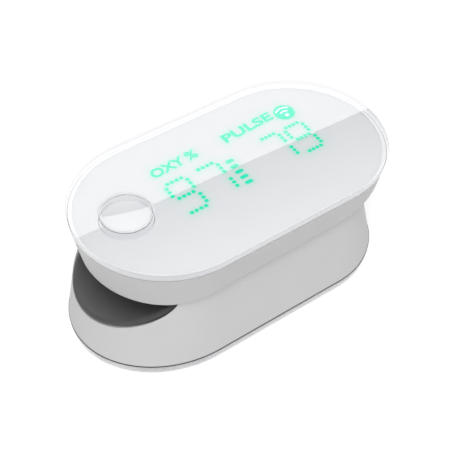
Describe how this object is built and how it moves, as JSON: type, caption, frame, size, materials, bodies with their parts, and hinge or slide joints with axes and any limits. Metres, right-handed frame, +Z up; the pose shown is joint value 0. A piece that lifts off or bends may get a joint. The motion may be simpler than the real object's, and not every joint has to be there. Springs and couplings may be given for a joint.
{
  "type": "fingertip pulse oximeter",
  "caption": "Fingertip pulse oximeter: sprung jaw that hinges open over a padded finger channel, with a lit dot display and a round push button on top.",
  "frame": {"origin": "middle of the flat underside that it rests on", "axes": "+X along the finger towards the hinge, the finger goes in from -X; +Z up through the display; +Y to the side that completes the right hand"},
  "size_m": [0.0642, 0.0342, 0.0258],
  "materials": {
    "clear_acrylic": "clear polished acrylic",
    "white_plastic": "white gloss plastic seen through the clear plates",
    "shell_plastic": "fine satin light grey plastic",
    "frame_plastic": "plain moulded white plastic",
    "dark_silicone": "soft matt dark grey silicone",
    "window_plastic": "clear window plastic",
    "chip_black": "black moulded package",
    "board_green": "green solder mask",
    "cell_foil": "aluminium laminate pouch",
    "grey_foam": "closed cell foam",
    "plated_steel": "plated steel",
    "ribbon_amber": "amber polyimide film",
    "display_glow": "glowing green emitter"
  },
  "bodies": {
    "base": {"base_cover": "clear_acrylic", "bottom_tray": "white_plastic", "lower_shell": "shell_plastic", "lower_frame": "frame_plastic", "lower_pad": "dark_silicone", "detector_window": "window_plastic", "photodiode": "chip_black", "sensor_board": "board_green", "battery": "cell_foil", "battery_foam": "grey_foam", "charge_board": "board_green", "charging_socket": "plated_steel", "lower_connector": "frame_plastic", "case_screws": "plated_steel", "hinge_pin": "plated_steel", "torsion_spring_left": "plated_steel", "torsion_spring_right": "plated_steel", "hinge_ribbon": "ribbon_amber"},
    "jaw": {"upper_shell": "shell_plastic", "display_mask": "white_plastic", "top_cover": "clear_acrylic", "upper_frame": "frame_plastic", "upper_pad": "dark_silicone", "emitter_window": "window_plastic", "emitter_led": "window_plastic", "main_board": "board_green", "display_housing": "frame_plastic", "display_diffuser": "window_plastic", "display_leds": "display_glow", "processor_chip": "chip_black", "radio_module": "plated_steel", "upper_connector": "frame_plastic", "switch_base": "chip_black", "switch_dome": "plated_steel", "frame_screws": "plated_steel"},
    "button": {"button_cap": "clear_acrylic", "button_stem": "white_plastic"}
  },
  "joints": [
    {"name": "jaw_hinge", "type": "hinge", "parent": "base", "child": "jaw", "pos_m": [0.0151, 0, 0.016], "axis": [0, 1, 0], "range_deg": [0, 12], "stiffness_Nm_per_rad": 0.06, "springref_deg": -20.05, "deforming": ["torsion_spring_left", "torsion_spring_right", "hinge_ribbon"]},
    {"name": "button_press", "type": "slide", "parent": "jaw", "child": "button", "axis": [0, 0, -1], "range_m": [0, 0.0003], "stiffness_N_per_m": 500, "springref_m": -0.0004, "deforming": ["switch_dome"]}
  ]
}
